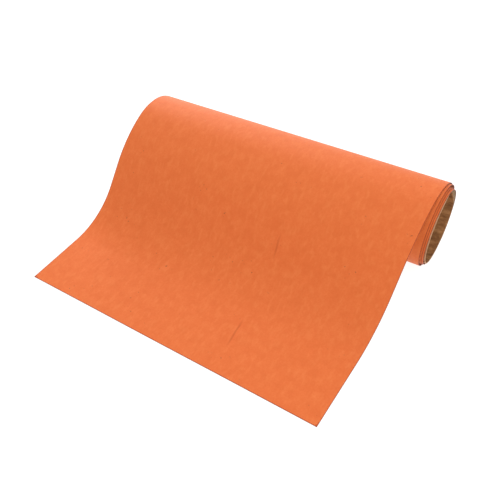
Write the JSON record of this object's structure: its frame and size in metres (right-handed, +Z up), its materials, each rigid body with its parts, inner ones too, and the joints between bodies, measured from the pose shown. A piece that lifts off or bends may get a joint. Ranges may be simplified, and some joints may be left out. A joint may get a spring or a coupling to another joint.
{
  "type": "grip tape roll",
  "caption": "Sheet of orange grip tape wound on a thin board core, with its outer end let down in front and lying flat.",
  "frame": {"origin": "centre of the core's bore, on its axis and midway along it", "axes": "+X along the roll's axis towards the end where the inner turns stand out, -Y the way the loose lead leaves, +Z up"},
  "size_m": [0.2386, 0.1872, 0.058],
  "materials": {
    "grit_coat": "matte, fine mineral grit in orange resin",
    "backing_film": "matte film",
    "adhesive": "tacky, semi-clear",
    "release_liner": "smooth silicone-coated paper",
    "core_board": "matte kraft board",
    "starter_tape": "tacky double-sided tape"
  },
  "bodies": {
    "lead": {"lead_grit_coat": "grit_coat", "lead_backing_film": "backing_film", "lead_adhesive": "adhesive", "lead_release_liner": "release_liner"},
    "roll": {"wound_grit_coat": "grit_coat", "wound_backing_film": "backing_film", "wound_adhesive": "adhesive", "wound_release_liner": "release_liner", "core_inner_ply": "core_board", "core_outer_ply": "core_board", "starter_tape": "starter_tape"}
  },
  "joints": [
    {"name": "roll_turn", "type": "hinge", "parent": "lead", "child": "roll", "pos_m": [0, 0, 0], "axis": [1, 0, 0], "range_deg": [-340, 1000]}
  ]
}
